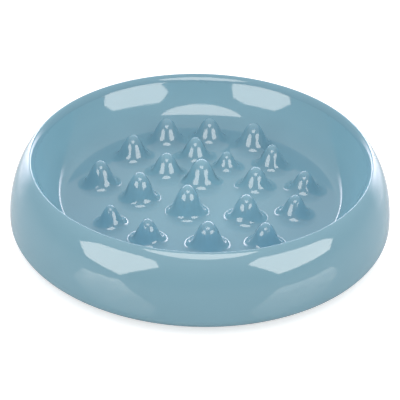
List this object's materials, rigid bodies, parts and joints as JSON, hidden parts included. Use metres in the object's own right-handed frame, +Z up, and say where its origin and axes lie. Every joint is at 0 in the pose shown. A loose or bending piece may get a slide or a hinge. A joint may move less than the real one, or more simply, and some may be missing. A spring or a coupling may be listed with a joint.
{
  "type": "slow feeder pet bowl",
  "caption": "Low round glazed ceramic pet bowl with an outward-flaring wall and a flat basin floor of scattered rounded nubs that slow eating.",
  "frame": {"origin": "on the table plane, under the middle of the bowl: the bottom centre of its bounding box", "axes": "+Z up, the bowl's axis of revolution; -Y towards the viewer of the picture, +X to their right"},
  "size_m": [0.23, 0.23, 0.0485],
  "materials": {
    "glaze": "glossy grey-blue glaze, even all over, a little darker where it pools in the basin",
    "bare_clay": "matt bare biscuit, wiped clean of glaze"
  },
  "bodies": {
    "root": {"rim": "glaze", "outer_wall": "glaze", "base_turn": "glaze", "basin_wall": "glaze", "basin_floor": "glaze", "nub_01": "glaze", "nub_02": "glaze", "nub_03": "glaze", "nub_04": "glaze", "nub_05": "glaze", "nub_06": "glaze", "nub_07": "glaze", "nub_08": "glaze", "nub_09": "glaze", "nub_10": "glaze", "nub_11": "glaze", "nub_12": "glaze", "nub_13": "glaze", "nub_14": "glaze", "nub_15": "glaze", "nub_16": "glaze", "nub_17": "glaze", "nub_18": "glaze", "nub_19": "glaze", "nub_20": "glaze", "foot_ring": "bare_clay"}
  },
  "joints": []
}
